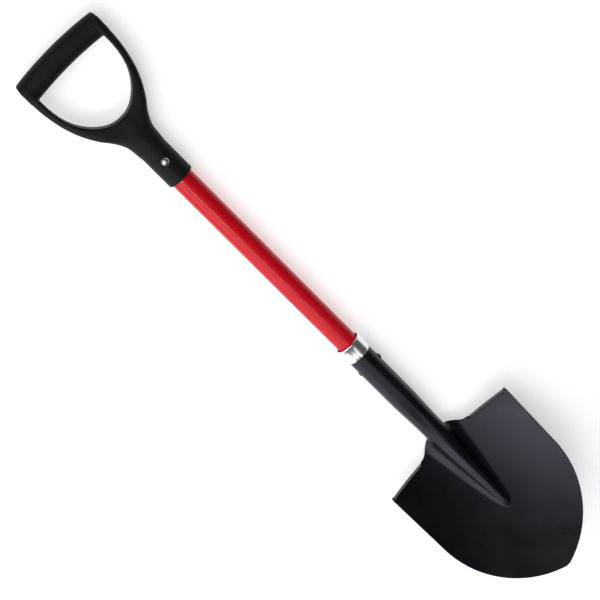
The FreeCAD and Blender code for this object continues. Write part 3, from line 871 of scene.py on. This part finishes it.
def rivet_metal():
    """Bright aluminium with hammer marks."""
    material, tree, shader = new_material("rivet_aluminium")
    marks = noise_field(tree, 480, 3)
    colour = colour_ramp(tree, marks, [(0.3, (0.46, 0.50, 0.48)), (0.7, (0.62, 0.66, 0.64))])
    tree.links.new(colour, shader.inputs["Base Color"])
    tree.links.new(spread_value(tree, noise_field(tree, 900, 4), 0.24, 0.42), shader.inputs["Roughness"])
    add_bump(tree, shader, marks, 0.3, 0.0003)
    shader.inputs["Metallic"].default_value = 1
    return material


def plug_wood():
    """Straight-grained pale wood for the plugs inside the tube."""
    material, tree, shader = new_material("core_wood")
    grain = noise_field(tree, 1, 6, (14, 420, 420), 0.65)
    colour = colour_ramp(tree, grain, [(0.3, (0.30, 0.17, 0.08)), (0.55, (0.52, 0.34, 0.18)),
                                       (0.75, (0.62, 0.45, 0.27))])
    tree.links.new(colour, shader.inputs["Base Color"])
    tree.links.new(spread_value(tree, noise_field(tree, 300, 3), 0.55, 0.75), shader.inputs["Roughness"])
    add_bump(tree, shader, grain, 0.4, 0.0004)
    return material


def pale_floor():
    """White paper sweep that also glows a little, so that shadows on it stay pale."""
    material, tree, shader = new_material("floor_paper")
    clouds = noise_field(tree, 3, 4)
    colour = colour_ramp(tree, clouds, [(0.3, (0.90, 0.90, 0.90)), (0.7, (0.93, 0.93, 0.93))])
    tree.links.new(colour, shader.inputs["Base Color"])
    tree.links.new(spread_value(tree, noise_field(tree, 8, 3), 0.75, 0.9), shader.inputs["Roughness"])
    add_bump(tree, shader, noise_field(tree, 700, 2), 0.05, 0.0002)
    shader.inputs["Emission Color"].default_value = (1, 1, 1, 1)
    shader.inputs["Emission Strength"].default_value = 0.5
    return material


# ---------------------------------------------------------------- build

enamel = black_enamel()
plastic = black_plastic()
fibreglass = red_fibreglass()
zinc = zinc_plate()
aluminium = rivet_metal()
wood = plug_wood()

skin_points, skin_faces = blade_skin()
blade_points, blade_faces = thicken(skin_points, skin_faces, SHEET, RIM_BULGE)
add_piece("blade_pressing", blade_points, blade_faces, enamel, "black_painted_steel", "blade")

grip_points, grip_faces = grip_mesh()
add_piece("grip_moulding", grip_points, grip_faces, plastic, "black_plastic", "d_grip")
add_piece("shaft_tube", *shaft_mesh(), fibreglass, "red_fibreglass", "shaft")
add_piece("collar_ring", *collar_mesh(), zinc, "plated_steel", "socket_collar")

points, faces = turned_rivet(head_radius=5.3, head_height=3.0, shank_radius=2.5, seat=SLEEVE_RADIUS - 0.1)
add_piece("grip_rivet_metal", stand_up(points, GRIP_RIVET_PLACE, "up"), faces, aluminium,
          "rivet_aluminium", "grip_rivet")
points, faces = turned_washer(seat=SLEEVE_RADIUS - 0.05, bore=2.6)
add_piece("grip_burr", stand_up(points, GRIP_RIVET_PLACE, "up"), faces, aluminium,
          "rivet_aluminium", "grip_rivet_washer")
points, faces = turned_rivet(head_radius=4.4, head_height=1.4, shank_radius=2.75, seat=SOCKET_RADIUS - 0.1)
add_piece("socket_rivet_metal", stand_up(points, SOCKET_RIVET_PLACE, "side"), faces, enamel,
          "black_painted_steel", "socket_rivet")
points, faces = turned_washer(seat=SOCKET_RADIUS - 0.1, bore=2.85)
add_piece("socket_burr", stand_up(points, SOCKET_RIVET_PLACE, "side"), faces, enamel,
          "black_painted_steel", "socket_rivet_washer")

for node in ("grip_core", "socket_core"):
    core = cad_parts[node]
    core.data.materials.clear()
    core.data.materials.append(wood)

# ---------------------------------------------------------------- floor, light and camera

def add_floor():
    """Square of floor under the shovel, 12 m wide."""
    mesh = bpy.data.meshes.new("floor")
    reach = 6.0
    mesh.from_pydata([(-reach, -reach, 0), (reach, -reach, 0), (reach, reach, 0), (-reach, reach, 0)],
                     [], [(0, 1, 2, 3)])
    mesh.materials.append(pale_floor())
    floor = bpy.data.objects.new("floor", mesh)
    bpy.context.scene.collection.objects.link(floor)


def add_softbox(name, place, width, height, power, colour=(1, 1, 1)):
    """A soft rectangular light that faces the middle of the shovel."""
    data = bpy.data.lights.new(name, "AREA")
    data.shape = "RECTANGLE"
    data.size = width
    data.size_y = height
    data.energy = power
    data.color = colour
    light = bpy.data.objects.new(name, data)
    light.location = place
    light.rotation_euler = (Vector((0, 0, 0)) - Vector(place)).to_track_quat("-Z", "Y").to_euler()
    bpy.context.scene.collection.objects.link(light)


def add_world():
    """Dim, even light from all round."""
    world = bpy.data.worlds.new("studio")
    world.use_nodes = True
    background = world.node_tree.nodes["Background"]
    background.inputs["Color"].default_value = (0.95, 0.97, 1.0, 1)
    background.inputs["Strength"].default_value = 0.08
    bpy.context.scene.world = world


AIM = ORIGIN + np.array([469.7, -4.2, 0]) * MM
CAMERA_DISTANCE = 2.074
CAMERA_BACK = math.radians(17.5)
CAMERA_SIDE = math.radians(0.8)
SHAFT_ON_PICTURE = math.radians(44.86)
LENS = 92.1
SENSOR = 36.0


def add_camera():
    """Camera high over the shaft, a little towards the grip, with the shaft running down to the right."""
    towards = Vector((-math.tan(CAMERA_BACK), math.tan(CAMERA_SIDE), 1)).normalized()
    along = Vector((1, 0, 0))
    along = (along - along.dot(towards) * towards).normalized()
    across = towards.cross(along)
    right = math.cos(SHAFT_ON_PICTURE) * along + math.sin(SHAFT_ON_PICTURE) * across
    up = towards.cross(right)
    data = bpy.data.cameras.new("camera")
    data.lens = LENS
    data.sensor_width = SENSOR
    data.sensor_height = SENSOR
    camera = bpy.data.objects.new("camera", data)
    turn = Matrix((right, up, towards)).transposed().to_4x4()
    camera.matrix_world = Matrix.Translation(Vector(AIM) + towards * CAMERA_DISTANCE) @ turn
    bpy.context.scene.collection.objects.link(camera)
    bpy.context.scene.camera = camera


add_floor()
add_world()
add_softbox("key", (-0.65, -1.4, 2.25), width=4.3, height=2.5, power=66, colour=(0.96, 0.98, 1.0))
add_softbox("side", (0.5, -2.6, 0.9), width=2.2, height=1.2, power=20, colour=(0.96, 0.98, 1.0))
add_softbox("strip", (0.9, -0.55, 2.8), width=3.2, height=0.07, power=12)
add_camera()
bpy.context.scene.view_settings.view_transform = "Standard"
